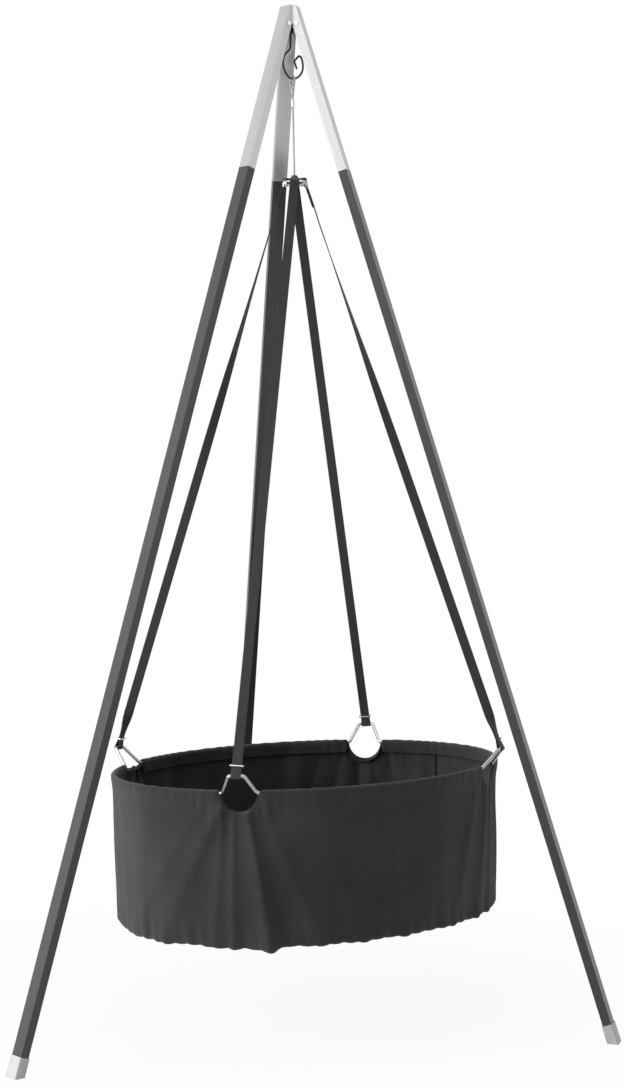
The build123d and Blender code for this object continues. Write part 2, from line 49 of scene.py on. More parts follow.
# ---------------------------------------------------------------- sizes of the cradle, in metres
RIM_LONG = 0.365
RIM_SHORT = 0.298
RIM_HEIGHT = 0.462
WALL_HEIGHT = 0.262
WALL_TAPER = 0.977
BASKET_TURN = math.radians(18)
CORNER_OFFSET = 0.255
SCOOP_RADIUS = 0.0335
HEM_ROLL = 0.0046
HEM_FLAP = 0.019
CLOTH = 0.0014
ROD = 0.0032
LINK_HALF_BASE = 0.030
LINK_LENGTH = 0.044
LINK_LEAN = math.radians(40)
RING_HEIGHT = 1.532
RING_SIDE = 0.038
RING_ROD = 0.002
RING_TURN = math.radians(-11)
STRAP_WIDTH = 0.017
STRAP_THICKNESS = 0.0018
STRAP_PLAY = 0.0003
RING_TAIL = 0.048
LINK_TAIL = 0.084
LINK_TURN_REACH = 0.024
STAND_AXIS_Y = -0.14766

# ---------------------------------------------------------------- where the cradle hangs
hook_point = Vector(joints["cradle_swing"]["pos_m"])
cable_up = -Vector(joints["cradle_turn"]["axis"])
lean = UP.rotation_difference(cable_up)
hang_line = Vector((hook_point.x, hook_point.y, 0))


def hung(point):
    """A point of the cradle as it would hang straight, taken to where it really hangs."""
    return hook_point + lean @ (point - hook_point)


def towards(azimuth):
    return Vector((math.cos(azimuth), math.sin(azimuth), 0))


# ---------------------------------------------------------------- the rim's ellipse
STEPS = 2880
long_axis, short_axis = towards(BASKET_TURN), towards(BASKET_TURN + math.pi / 2)


def rim_point(angle, share=1.0):
    flat = long_axis * (RIM_LONG * share * math.cos(angle))
    return hang_line + flat + short_axis * (RIM_SHORT * share * math.sin(angle))


def rim_normal(angle):
    slope = long_axis * (math.cos(angle) / RIM_LONG) + short_axis * (math.sin(angle) / RIM_SHORT)
    return slope.normalized()


lengths = [0.0]
for step in range(STEPS):
    here, there = rim_point(math.tau * step / STEPS), rim_point(math.tau * (step + 1) / STEPS)
    lengths.append(lengths[-1] + (there - here).length)
PERIMETER = lengths[-1]


def rim_angle(distance):
    """Ellipse angle at a distance round the rim from the long axis."""
    distance %= PERIMETER
    low, high = 0, STEPS
    while high - low > 1:
        middle = (low + high) // 2
        if lengths[middle] <= distance:
            low = middle
        else:
            high = middle
    part = (distance - lengths[low]) / (lengths[low + 1] - lengths[low])
    return math.tau * (low + part) / STEPS


def rim_distance(angle):
    place = (angle % math.tau) / math.tau * STEPS
    low = int(place)
    return lengths[low] + (place - low) * (lengths[low + 1] - lengths[low])


first_corner = math.acos(CORNER_OFFSET / RIM_LONG)
corners = {
    "back": first_corner,
    "left": math.pi - first_corner,
    "front": math.pi + first_corner,
    "right": math.tau - first_corner,
}
corner_distance = {name: rim_distance(angle) for name, angle in corners.items()}


def step_between(distance, start):
    """Signed distance round the rim, the short way."""
    return (distance - start + PERIMETER / 2) % PERIMETER - PERIMETER / 2


def smooth(low, high, value):
    t = min(max((value - low) / (high - low), 0.0), 1.0)
    return t * t * (3 - 2 * t)


# ================================================================ tools for making pieces
def fresh():
    if bpy.context.object and bpy.context.object.mode != "OBJECT":
        bpy.ops.object.mode_set(mode="OBJECT")
    bpy.ops.object.select_all(action="DESELECT")


def sheet_grid(name, across, along, place, loop=False, uv=None):
    """A grid of faces whose corner (i, j) is moved to place(i, j); loop joins its first and last columns."""
    fresh()
    bpy.ops.mesh.primitive_grid_add(x_subdivisions=across, y_subdivisions=along, size=2)
    piece = bpy.context.object
    piece.name = name
    mesh = piece.data
    spots = []
    for vertex in mesh.vertices:
        i = round((vertex.co.x + 1) / 2 * across)
        j = round((vertex.co.y + 1) / 2 * along)
        spots.append((i, j))
    layer = mesh.uv_layers.active or mesh.uv_layers.new(name="UVMap")
    if uv:
        for loop_corner in mesh.loops:
            layer.data[loop_corner.index].uv = uv(*spots[loop_corner.vertex_index])
    for vertex, (i, j) in zip(mesh.vertices, spots):
        vertex.co = place(i, j)
    if loop:
        bpy.ops.object.mode_set(mode="EDIT")
        bpy.ops.mesh.select_all(action="SELECT")
        bpy.ops.mesh.remove_doubles(threshold=1e-6)
        bpy.ops.object.mode_set(mode="OBJECT")
    return piece


def thicken(piece, thickness, offset=-1.0):
    fresh()
    piece.select_set(True)
    bpy.context.view_layer.objects.active = piece
    solid = piece.modifiers.new("cloth", "SOLIDIFY")
    solid.thickness = thickness
    solid.offset = offset
    bpy.ops.object.modifier_apply(modifier=solid.name)


def outward(piece):
    fresh()
    piece.select_set(True)
    bpy.context.view_layer.objects.active = piece
    bpy.ops.object.mode_set(mode="EDIT")
    bpy.ops.mesh.select_all(action="SELECT")
    bpy.ops.mesh.normals_make_consistent(inside=False)
    bpy.ops.object.mode_set(mode="OBJECT")


def soften(piece):
    fresh()
    piece.select_set(True)
    bpy.context.view_layer.objects.active = piece
    bpy.ops.object.shade_smooth_by_angle(angle=math.radians(50))


def hang(piece):
    for vertex in piece.data.vertices:
        vertex.co = hung(vertex.co)


def settle(piece, material, body, node_names=()):
    piece.data.materials.clear()
    piece.data.materials.append(material)
    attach(piece, body)
    if node_names:
        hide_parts(*node_names)


def tube(name, path, widths, normals, closed=False, sides=12):
    """A round or oval tube along a path; widths gives (across, out) half sizes at each point."""
    count = len(path)

    def place(i, j):
        here = path[j % count]
        if closed:
            way = (path[(j + 1) % count] - path[(j - 1) % count]).normalized()
        else:
            way = (path[min(j + 1, count - 1)] - path[max(j - 1, 0)]).normalized()
        out = normals[j % count]
        out = (out - way * out.dot(way)).normalized()
        side = way.cross(out)
        turn = math.tau * (i % sides) / sides
        across, thick = widths[j % count]
        return here + side * (across * math.cos(turn)) + out * (thick * math.sin(turn))

    runs = [0.0]
    for j in range(1, count + 1):
        runs.append(runs[-1] + (path[j % count] - path[j - 1]).length)
    along = count if closed else count - 1
    piece = sheet_grid(name, sides, along, place, loop=True, uv=lambda i, j: (i / sides * 0.02, runs[j]))
    if not closed:
        bpy.ops.object.mode_set(mode="EDIT")
        bpy.ops.mesh.select_all(action="DESELECT")
        bpy.ops.mesh.select_non_manifold()
        bpy.ops.mesh.fill_holes(sides=sides + 2)
        bpy.ops.object.mode_set(mode="OBJECT")
        cap = bmesh.new()
        cap.from_mesh(piece.data)
        rims = [edge for edge in cap.edges if edge.is_boundary]
        if rims:
            bmesh.ops.holes_fill(cap, edges=rims, sides=sides + 2)
        cap.to_mesh(piece.data)
        cap.free()
    outward(piece)
    soften(piece)
    return piece


def join(pieces, name):
    fresh()
    for piece in pieces:
        piece.select_set(True)
    bpy.context.view_layer.objects.active = pieces[0]
    bpy.ops.object.join()
    pieces[0].name = name
    return pieces[0]


def stitches(name, spots, length, radius):
    """Threads, one for each (place, direction, outward)."""
    fresh()
    bpy.ops.mesh.primitive_uv_sphere_add(segments=6, ring_count=4, radius=1)
    thread = bpy.context.object
    shape = bmesh.new()
    shape.from_mesh(thread.data)
    bpy.data.objects.remove(thread)
    mesh = bpy.data.meshes.new(name)
    whole = bmesh.new()
    for place, way, out in spots:
        side = way.cross(out).normalized()
        turn = Matrix((side * radius, out * radius, way * length / 2)).transposed().to_4x4()
        turn.translation = place
        copy = shape.copy()
        copy.transform(turn)
        part = bpy.data.meshes.new("thread")
        copy.to_mesh(part)
        copy.free()
        whole.from_mesh(part)
        bpy.data.meshes.remove(part)
    bmesh.ops.recalc_face_normals(whole, faces=whole.faces)
    whole.to_mesh(mesh)
    whole.free()
    shape.free()
    piece = bpy.data.objects.new(name, mesh)
    bpy.context.scene.collection.objects.link(piece)
    soften(piece)
    return piece


# ================================================================ materials
class Finish:
    """A material that is built up node by node."""

    def __init__(self, name, color, roughness, metallic=0.0, sheen=0.0, coat=0.0):
        self.material = bpy.data.materials.new(name)
        self.material.use_nodes = True
        self.tree = self.material.node_tree
        self.shader = self.tree.nodes["Principled BSDF"]
        self.shader.inputs["Base Color"].default_value = (*color, 1)
        self.shader.inputs["Roughness"].default_value = roughness
        self.shader.inputs["Metallic"].default_value = metallic
        self.shader.inputs["Sheen Weight"].default_value = sheen
        self.shader.inputs["Sheen Roughness"].default_value = 0.5
        self.shader.inputs["Coat Weight"].default_value = coat
        self.shader.inputs["Coat Roughness"].default_value = 0.25
        self.bump = None

    def node(self, kind, **values):
        made = self.tree.nodes.new(kind)
        for key, value in values.items():
            if key in made.inputs:
                made.inputs[key].default_value = value
            else:
                setattr(made, key, value)
        return made

    def link(self, start, end):
        self.tree.links.new(start, end)

    def coordinates(self, uv=False, turn=None, scale=(1, 1, 1)):
        source = self.node("ShaderNodeTexCoord").outputs["UV" if uv else "Object"]
        mapping = self.node("ShaderNodeMapping")
        mapping.vector_type = "TEXTURE" if turn else "POINT"
        self.link(source, mapping.inputs["Vector"])
        if turn:
            mapping.inputs["Rotation"].default_value = turn
            mapping.inputs["Scale"].default_value = tuple(1 / s for s in scale)
        else:
            mapping.inputs["Scale"].default_value = scale
        return mapping.outputs["Vector"]

    def noise(self, vector, scale, detail=4.0, roughness=0.55):
        texture = self.node("ShaderNodeTexNoise", Scale=scale, Detail=detail, Roughness=roughness)
        self.link(vector, texture.inputs["Vector"])
        return texture.outputs["Fac"]

    def math(self, operation, first, second):
        made = self.node("ShaderNodeMath", operation=operation)
        for socket, value in zip(made.inputs, (first, second)):
            if isinstance(value, (int, float)):
                socket.default_value = value
            else:
                self.link(value, socket)
        return made.outputs[0]

    def tint(self, factor, dark, light, low=0.3, high=0.7):
        ramp = self.node("ShaderNodeValToRGB")
        ramp.color_ramp.elements[0].position = low
        ramp.color_ramp.elements[1].position = high
        ramp.color_ramp.elements[0].color = (*dark, 1)
        ramp.color_ramp.elements[1].color = (*light, 1)
        self.link(factor, ramp.inputs["Fac"])
        self.link(ramp.outputs["Color"], self.shader.inputs["Base Color"])

    def gloss(self, factor, low, high):
        spread = self.node("ShaderNodeMapRange")
        spread.inputs["To Min"].default_value = low
        spread.inputs["To Max"].default_value = high
        self.link(factor, spread.inputs["Value"])
        self.link(spread.outputs["Result"], self.shader.inputs["Roughness"])

    def relief(self, height, distance, strength=1.0):
        bump = self.node("ShaderNodeBump", Strength=strength, Distance=distance)
        self.link(height, bump.inputs["Height"])
        if self.bump:
            self.link(self.bump.outputs["Normal"], bump.inputs["Normal"])
        self.link(bump.outputs["Normal"], self.shader.inputs["Normal"])
        self.bump = bump


def weave_height(finish, vector, pitch):
    """Over and under threads of a plain weave, about pitch apart."""
    bands = []
    for direction in ("X", "Y"):
        wave = finish.node("ShaderNodeTexWave", Scale=1.0 / pitch / 2 / math.pi * math.tau, Distortion=0.6)
        wave.bands_direction = direction
        wave.inputs["Detail"].default_value = 1.0
        wave.inputs["Detail Scale"].default_value = 2.0
        finish.link(vector, wave.inputs["Vector"])
        bands.append(wave.outputs["Fac"])
    return finish.math("MAXIMUM", *bands)


def canvas(name, dark, light, pitch=0.0016):
    finish = Finish(name, light, 0.88, sheen=0.28)
    finish.shader.inputs["Sheen Tint"].default_value = (0.86, 0.84, 0.88, 1)
    finish.shader.inputs["Specular IOR Level"].default_value = 0.12
    cloth = finish.coordinates(uv=True)
    threads = weave_height(finish, cloth, pitch)
    slubs = finish.noise(finish.coordinates(uv=True, scale=(1, 2.5, 1)), 200, 5.0, 0.7)
    cloud = finish.noise(finish.coordinates(), 9, 3.0)
    mix = finish.math("ADD", finish.math("MULTIPLY", threads, 0.35), finish.math("MULTIPLY", slubs, 0.45))
    mix = finish.math("ADD", mix, finish.math("MULTIPLY", cloud, 0.25))
    finish.tint(mix, dark, light, 0.44, 0.74)
    finish.relief(threads, 0.00035, 0.5)
    finish.relief(slubs, 0.0006, 0.35)
    return finish.material


def ribbed_webbing():
    finish = Finish("webbing", (0.012, 0.012, 0.013), 0.7, sheen=0.15)
    vector = finish.coordinates(uv=True)
    ribs = finish.node("ShaderNodeTexWave", Scale=1.0 / 0.0022)
    ribs.bands_direction = "DIAGONAL"
    finish.link(vector, ribs.inputs["Vector"])
    cross = finish.node("ShaderNodeTexWave", Scale=1.0 / 0.0028)
    cross.bands_direction = "X"
    finish.link(vector, cross.inputs["Vector"])
    weave = finish.math("MULTIPLY", ribs.outputs["Fac"], finish.math("ADD", cross.outputs["Fac"], 0.4))
    finish.tint(weave, (0.007, 0.007, 0.008), (0.030, 0.030, 0.033), 0.1, 1.0)
    finish.relief(weave, 0.0004, 0.8)
    finish.relief(finish.noise(vector, 900, 2.0), 0.0002, 0.4)
    return finish.material


def brushed(name, color, direction, roughness=0.34):
    """Metal drawn along a direction."""
    finish = Finish(name, color, roughness, metallic=1.0)
    turn = UP.rotation_difference(direction).to_euler()
    lines = finish.noise(finish.coordinates(turn=turn, scale=(1, 1, 0.015)), 900, 4.0, 0.6)
    broad = finish.noise(finish.coordinates(turn=turn, scale=(1, 1, 0.05)), 60, 3.0)
    finish.gloss(finish.math("ADD", finish.math("MULTIPLY", lines, 0.6), finish.math("MULTIPLY", broad, 0.4)),
                 roughness - 0.06, roughness + 0.12)
    finish.tint(broad, tuple(0.93 * c for c in color), color)
    finish.relief(lines, 0.00006, 0.5)
    return finish.material


def stained_wood(name, direction):
    """Black-stained wood with its grain along a direction."""
    finish = Finish(name, (0.02, 0.02, 0.02), 0.42, coat=0.25)
    turn = UP.rotation_difference(direction).to_euler()
    grain = finish.noise(finish.coordinates(turn=turn, scale=(1, 1, 0.03)), 420, 6.0, 0.6)
    fibre = finish.noise(finish.coordinates(turn=turn, scale=(1, 1, 0.008)), 1500, 3.0, 0.5)
    broad = finish.noise(finish.coordinates(turn=turn, scale=(1, 1, 0.2)), 14, 2.0)
    mix = finish.math("ADD", finish.math("MULTIPLY", grain, 0.7), finish.math("MULTIPLY", broad, 0.3))
    finish.tint(mix, (0.009, 0.0086, 0.0084), (0.026, 0.0245, 0.0240), 0.35, 0.68)
    finish.gloss(grain, 0.34, 0.52)
    finish.relief(grain, 0.00025, 0.35)
    finish.relief(fibre, 0.0001, 0.3)
    return finish.material


def moulded(name, color, roughness, scale=1400):
    """Moulded plastic or a powder coat with a fine grain."""
    finish = Finish(name, color, roughness)
    vector = finish.coordinates()
    grain = finish.noise(vector, scale, 3.0)
    cloud = finish.noise(vector, 35, 3.0)
    finish.tint(cloud, tuple(0.9 * c for c in color), tuple(min(1.08 * c, 1) for c in color))
    finish.gloss(grain, roughness - 0.07, roughness + 0.07)
    finish.relief(grain, 0.00012, 0.35)
    return finish.material


def plain_steel(name, color, roughness):
    finish = Finish(name, color, roughness, metallic=1.0)
    vector = finish.coordinates()
    marks = finish.noise(vector, 700, 4.0)
    finish.gloss(marks, roughness - 0.06, roughness + 0.1)
    finish.tint(finish.noise(vector, 120, 3.0), tuple(0.88 * c for c in color), color)
    finish.relief(marks, 0.00004, 0.4)
    return finish.material


def stranded(name, color):
    """Wire rope: its strands wind round it."""
    finish = Finish(name, color, 0.35, metallic=1.0)
    wave = finish.node("ShaderNodeTexWave", Scale=330.0, Distortion=0.3)
    wave.bands_direction = "DIAGONAL"
    finish.link(finish.coordinates(), wave.inputs["Vector"])
    # The grooves between the strands are painted darker: painted shade.
    finish.tint(wave.outputs["Fac"], tuple(0.35 * c for c in color), color, 0.1, 0.6)
    finish.relief(wave.outputs["Fac"], 0.0006, 0.9)
    return finish.material


basket_canvas = canvas("anthracite_canvas", (0.016, 0.0146, 0.0160), (0.070, 0.064, 0.070))
lining_jersey = canvas("mattress_jersey", (0.020, 0.0185, 0.0205), (0.074, 0.069, 0.075), 0.0011)
binding_tape = canvas("binding_tape", (0.020, 0.018, 0.020), (0.046, 0.042, 0.047), 0.0009)
# Near-black tape: painted shade, put where the slit and the lining's opening show only shadow
shadow_tape = canvas("painted_shade_tape", (0.004, 0.004, 0.004), (0.009, 0.008, 0.009), 0.0009)
sewing_thread = moulded("sewing_thread", (0.045, 0.042, 0.047), 0.7, 2500)
webbing = ribbed_webbing()
foot_plastic = moulded("foot_plastic", (0.58, 0.58, 0.57), 0.48)
black_coat = moulded("black_powder_coat", (0.012, 0.012, 0.012), 0.42)
black_plastic = moulded("black_cap_plastic", (0.014, 0.014, 0.015), 0.5)
black_wire = moulded("black_wire_coat", (0.010, 0.010, 0.010), 0.38)
zinc = plain_steel("zinc_plate", (0.78, 0.78, 0.77), 0.28)
bright_wire = plain_steel("polished_wire", (0.62, 0.62, 0.62), 0.14)
drawn_steel = plain_steel("drawn_rod", (0.40, 0.40, 0.41), 0.24)
ground_plate = plain_steel("ground_plate", (0.60, 0.60, 0.60), 0.36)
wire_rope = stranded("wire_rope", (0.60, 0.60, 0.61))
plywood = moulded("plywood", (0.50, 0.37, 0.22), 0.6, 300)


# ================================================================ the stand and the metal parts
def dress(node, material):
    mesh = nodes[node].data
    mesh.materials.clear()
    mesh.materials.append(material)


LEG_SPLAY = math.radians(18)
for name, azimuth in {"left": 210, "right": 330, "rear": 90}.items():
    down_leg = towards(math.radians(azimuth)) * math.sin(LEG_SPLAY) - UP * math.cos(LEG_SPLAY)
    dress(f"{name}_bar", brushed(f"{name}_drawn_aluminium", (0.47, 0.47, 0.48), down_leg))
    dress(f"{name}_pole", stained_wood(f"{name}_stained_pole", down_leg))
    dress(f"{name}_foot_cap", foot_plastic)
    for part in ("fold_bolt", "bolt_nut", "bar_screw"):
        dress(f"{name}_{part}", zinc)
for node in ("hub", "hook_nut"):
    dress(node, black_coat)
dress("pigtail_hook", black_wire)
dress("thimble", zinc)
dress("cable", wire_rope)
dress("cable_ferrule", zinc)
dress("cable_ball", zinc)
dress("spreader_cap", black_plastic)
dress("spreader_plate", ground_plate)
dress("spreader_ring", bright_wire)
dress("base_board", plywood)
for corner in corners:
    dress(f"{corner}_link", drawn_steel)
    dress(f"{corner}_keeper", bright_wire)
for side in ("right_back", "back_left", "left_front", "front_right"):
    dress(f"{side}_rim_rod", drawn_steel)


# ================================================================ the basket's cloth
# Folds run down the wall from near a corner:
# (corner, start, end, height at start, height at end, left width, right width).
# start and end are metres round the rim from that corner, at the rim and at the bottom.
FOLDS = [
    ("front", 0.010, 0.050, 0.006, 0.0190, 0.026, 0.009),
    ("front", -0.008, -0.018, 0.003, 0.0065, 0.013, 0.010),
    ("front", -0.026, -0.052, 0.004, 0.0060, 0.015, 0.012),
    ("front", -0.020, -0.150, 0.010, 0.0070, 0.036, 0.017),
    ("front", -0.052, -0.235, 0.004, 0.0045, 0.030, 0.026),
    ("front", 0.034, 0.130, 0.003, 0.0050, 0.016, 0.022),
    ("front", 0.120, 0.215, 0.000, 0.0060, 0.016, 0.012),
    ("front", 0.250, 0.300, 0.000, 0.0050, 0.014, 0.014),
    ("right", -0.050, -0.130, 0.003, 0.0055, 0.022, 0.014),
    ("right", -0.014, -0.050, 0.004, 0.0065, 0.015, 0.010),
    ("right", 0.006, 0.004, 0.003, 0.0050, 0.012, 0.012),
    ("right", 0.030, 0.080, 0.003, 0.0040, 0.018, 0.022),
    ("back", -0.038, -0.110, 0.005, 0.0060, 0.018, 0.014),
    ("back", -0.010, -0.050, 0.004, 0.0070, 0.014, 0.012),
    ("back", 0.012, 0.022, 0.004, 0.0080, 0.014, 0.014),
    ("back", 0.040, 0.100, 0.005, 0.0060, 0.018, 0.022),
    ("back", 0.075, 0.180, 0.004, 0.0045, 0.024, 0.020),
    ("left", -0.046, -0.090, 0.005, 0.0050, 0.016, 0.014),
    ("left", -0.006, -0.020, 0.003, 0.0060, 0.014, 0.012),
    ("left", 0.040, 0.060, 0.004, 0.0050, 0.014, 0.016),
    ("left", 0.100, 0.140, 0.002, 0.0035, 0.022, 0.022),
]


def crest(x, left, right):
    """A fold's section: a rounded crest with flanks of their own widths."""
    width = left if x < 0 else right
    return math.exp(-math.sqrt((x / width) ** 2 + 0.09) + 0.3)


def fold_height(distance, depth):
    share = min(max(depth / WALL_HEIGHT, 0), 1)
    total = 0.0
    for corner, start, end, first, last, left, right in FOLDS:
        x = step_between(distance, corner_distance[corner]) - (start + (end - start) * share)
        if abs(x) < 6 * max(left, right):
            grow = first + (last - first) * share
            widen = 0.55 + 0.6 * share
            total += grow * smooth(0.01, 0.15, share) * crest(x, left * widen, right * widen)
    return total


def slack(distance, depth):
    """Long, shallow waves of cloth that is not quite tight, deeper along the back."""
    share = min(max(depth / WALL_HEIGHT, 0), 1)
    turn = math.tau * distance / PERIMETER
    wave = math.sin(9 * turn + 1.3) + 0.6 * math.sin(17 * turn + 4.0 + share)
    wave += 0.4 * math.sin(31 * turn + 2 * share)
    behind = smooth(-0.1, 0.5, math.sin(turn)) * smooth(0.02, 0.10, share)
    ripple = math.sin(53 * turn + 0.7) * math.sin(11 * turn)
    ripple += 0.7 * math.sin(83 * turn + 2.2) * math.sin(5 * turn)
    back_wave = math.sin(26 * turn + 0.5 * math.sin(7 * turn)) + 0.7 * math.sin(41 * turn + 1.1)
    return (
        0.0011 * wave * smooth(0.05, 0.6, share)
        + 0.0011 * ripple * smooth(0.72, 1.0, share)
        + 0.0017 * back_wave * behind
    )


def gathers(distance, depth):
    """Short puckers under the hem beside each scoop."""
    total = 0.0
    for start in corner_distance.values():
        x = abs(step_between(distance, start))
        if 0.03 < x < 0.16:
            near = smooth(0.16, 0.045, x)
            total += near * math.sin(x * 420 + 2 * math.sin(x * 61)) * 0.0009
    return total * smooth(0.002, 0.012, depth) * (1 - smooth(0.02, 0.065, depth))


# The cloth has slid along the rim at the left corner, so its scoop has closed up to a slit.
CLOSED_SCOOP = "left"
CLOSED_SAG = 0.006
SLIT_PLACE = -0.018
SLIT_HALF_WIDTH = 0.0028


def scoop_edge(distance):
    """How far the cloth's upper edge lies under the rim's centre line."""
    for name, start in corner_distance.items():
        x = step_between(distance, start)
        if abs(x) < SCOOP_RADIUS:
            if name == CLOSED_SCOOP:
                sag = CLOSED_SAG * math.sqrt(1 - (x / SCOOP_RADIUS) ** 2)
                gap = max(0.0, 1 - abs(x - SLIT_PLACE) / SLIT_HALF_WIDTH)
                return sag + (SCOOP_RADIUS - sag) * math.sqrt(gap)
            return math.sqrt(SCOOP_RADIUS**2 - x**2)
    return 0.0


def columns_round_rim():
    """Distances round the rim for the wall's columns, closer together in and beside the scoops."""
    places = []
    order = sorted(corner_distance.values())
    for here, after in zip(order, order[1:] + [order[0] + PERIMETER]):
        for step in range(40):
            places.append(here - SCOOP_RADIUS * math.cos(math.pi * step / 40))
        start, end = here + SCOOP_RADIUS, after - SCOOP_RADIUS
        count = round((end - start) / 0.0048)
        places += [start + (end - start) * step / count for step in range(count)]
    return places


wall_columns = columns_round_rim()
OVER_ROLL = 8
FLAP_ROWS = 3
WALL_ROWS = 46
TURN_ROWS = 4
WALL_LIFT = 0.0012
HEM_EASE = 0.034
BOTTOM_TURN = 0.006
bottom_height = RIM_HEIGHT - WALL_HEIGHT


def row_share(share):
    """The wall's rows lie closer together near the rim."""
    return share * (0.55 + 0.45 * share) if share < 1 else 1.0


def hem_share(distance):
    """1 where the hem is rolled round the rim rod, 0 in a scoop."""
    nearest = min(abs(step_between(distance, start)) for start in corner_distance.values())
    return smooth(SCOOP_RADIUS - 0.001, SCOOP_RADIUS + 0.004, nearest)


def bottom_dip(distance):
    """Folds and puckers pull the bottom edge down a little."""
    fold = fold_height(distance, WALL_HEIGHT)
    turn = math.tau * distance / PERIMETER
    pucker = abs(math.sin(37 * turn + 0.6 * math.sin(7 * turn)))
    return 0.42 * fold + 0.0022 * pucker


def wall_taper(depth):
    """The wall's share of the rim's size, some way down."""
    return 1 - (1 - WALL_TAPER) * depth / WALL_HEIGHT


def hem_bulge(depth, roll=HEM_ROLL):
    """How far the wall stands out where it leaves the rolled hem, some way under its edge."""
    return WALL_LIFT + (roll - WALL_LIFT) * (1 - smooth(0.0, HEM_EASE, depth))


def wall_spot(i, j):
    """The wall's outer surface: rows run from the hem's inner flap, over the rod, down to the bottom seam."""
    distance = wall_columns[i % len(wall_columns)]
    angle = rim_angle(distance)
    out, edge, rolled = rim_normal(angle), scoop_edge(distance), hem_share(distance)
    roll = HEM_ROLL * rolled + 0.0009 * (1 - rolled)
    roll *= 1 + 0.10 * math.sin(distance * 260 + 3 * math.sin(distance * 37))
    if j <= FLAP_ROWS:
        share = j / FLAP_ROWS
        flap = HEM_FLAP * rolled + 0.004 * (1 - rolled)
        depth = edge + flap * (1 - share) + 0.0001
        offset = -0.0022 - (roll - 0.0022) * smooth(0, 1, share)
        offset += gathers(distance, depth) + slack(distance, depth)
        return rim_point(angle) + out * offset + UP * (RIM_HEIGHT - depth)
    if j <= FLAP_ROWS + OVER_ROLL:
        turn = math.pi * (j - FLAP_ROWS) / OVER_ROLL
        lift = RIM_HEIGHT - edge + roll * math.sin(turn)
        return rim_point(angle) + out * (-roll * math.cos(turn)) + UP * lift
    row = j - FLAP_ROWS - OVER_ROLL
    low = bottom_height - bottom_dip(distance)
    high = RIM_HEIGHT - edge
    if row <= WALL_ROWS:
        share = row / WALL_ROWS
        share = row_share(share)
        height = high + (low + BOTTOM_TURN - high) * share
        depth = RIM_HEIGHT - height
        offset = hem_bulge(depth - edge, roll)
        offset += fold_height(distance, depth) + slack(distance, depth) + gathers(distance, depth)
        return rim_point(angle, wall_taper(depth)) + out * offset + UP * height
    turn = math.pi / 2 * (row - WALL_ROWS) / TURN_ROWS
    offset = WALL_LIFT + fold_height(distance, WALL_HEIGHT) + slack(distance, WALL_HEIGHT)
    return (
        rim_point(angle, WALL_TAPER)
        + out * (offset - BOTTOM_TURN * (1 - math.cos(turn)))
        + UP * (low + BOTTOM_TURN * (1 - math.sin(turn)))
    )


def wall_uv(i, j):
    distance = wall_columns[i] if i < len(wall_columns) else wall_columns[0] + PERIMETER
    if j <= FLAP_ROWS + OVER_ROLL:
        return (distance, 1.0 + 0.002 * (FLAP_ROWS + OVER_ROLL - j))
    share = (j - FLAP_ROWS - OVER_ROLL) / WALL_ROWS
    if share < 1:
        share = row_share(share)
    edge = scoop_edge(distance)
    return (distance, 1.0 - edge - (WALL_HEIGHT - edge) * share)


def make_basket_wall():
    rows = FLAP_ROWS + OVER_ROLL + WALL_ROWS + TURN_ROWS
    wall = sheet_grid("basket_wall", len(wall_columns), rows, wall_spot, loop=True, uv=wall_uv)
    thicken(wall, CLOTH, -1.0)
    soften(wall)
    hang(wall)
    return wall


def make_basket_bottom():
    """The bottom cloth, drawn tight under the board, with puckers that die out towards the middle."""
    rings = 26
    count = len(wall_columns)

    def place(i, j):
        distance = wall_columns[i % count]
        angle = rim_angle(distance)
        share = 1 - j / rings
        edge = WALL_LIFT + fold_height(distance, WALL_HEIGHT) + slack(distance, WALL_HEIGHT) - 0.005
        turn = math.tau * distance / PERIMETER
        pucker = 0.0012 * math.sin(74 * turn + 2 * math.sin(5 * turn)) * smooth(0.72, 1.0, share)
        low = bottom_height - bottom_dip(distance) * smooth(0.8, 1.0, share) - 0.0016 * (1 - share**2)
        flat = rim_point(angle, WALL_TAPER * share) + rim_normal(angle) * (edge * smooth(0.75, 1.0, share))
        return flat + UP * (low + pucker + 0.0002)

    def flat_uv(i, j):
        spot = place(i, j)
        return (spot.x, spot.y)

    bottom = sheet_grid("basket_bottom", count, rings, place, loop=True, uv=flat_uv)
    outward(bottom)
    thicken(bottom, CLOTH, 1.0)
    soften(bottom)
    hang(bottom)
    return bottom


def scoop_arc(corner, radius, lift, start, end, count):
    """Points along a scoop's edge, bulging with the wall, and the outward direction at each."""
    path, normals = [], []
    for step in range(count):
        turn = math.radians(start + (end - start) * step / (count - 1))
        distance = corner_distance[corner] - radius * math.cos(turn)
        angle = rim_angle(distance)
        depth = radius * math.sin(turn)
        flat = rim_point(angle, wall_taper(depth)) + rim_normal(angle) * lift
        path.append(hung(flat + UP * (RIM_HEIGHT - depth)))
        normals.append(lean @ rim_normal(angle))
    return path, normals


def make_scoop_bindings():
    """Each open scoop has a folded tape sewn over its edge, with a second turned edge outside it; the closed
    scoop has none.
    """
    for corner in corners:
        if corner == CLOSED_SCOOP:
            continue
        edge, out = scoop_arc(corner, SCOOP_RADIUS - 0.0004, 0.0006, 4, 176, 44)
        inner = tube(f"{corner}_scoop_binding", edge, [(0.0020, 0.0027)] * len(edge), out)
        facing, out = scoop_arc(corner, SCOOP_RADIUS + 0.0052, 0.0022, 6, 174, 44)
        outer = tube(f"{corner}_scoop_facing", facing, [(0.0036, 0.0011)] * len(facing), out)
        tape = join([inner, outer], f"{corner}_scoop_binding")
        settle(tape, binding_tape, "cradle")
        row, out = scoop_arc(corner, SCOOP_RADIUS + 0.0058, 0.0034, 8, 172, 34)
        spots = [(row[k], (row[k + 1] - row[k - 1]).normalized(), out[k]) for k in range(1, len(row) - 1)]
        thread = stitches(f"{corner}_scoop_stitching", spots, 0.0024, 0.00035)
        settle(thread, sewing_thread, "cradle")


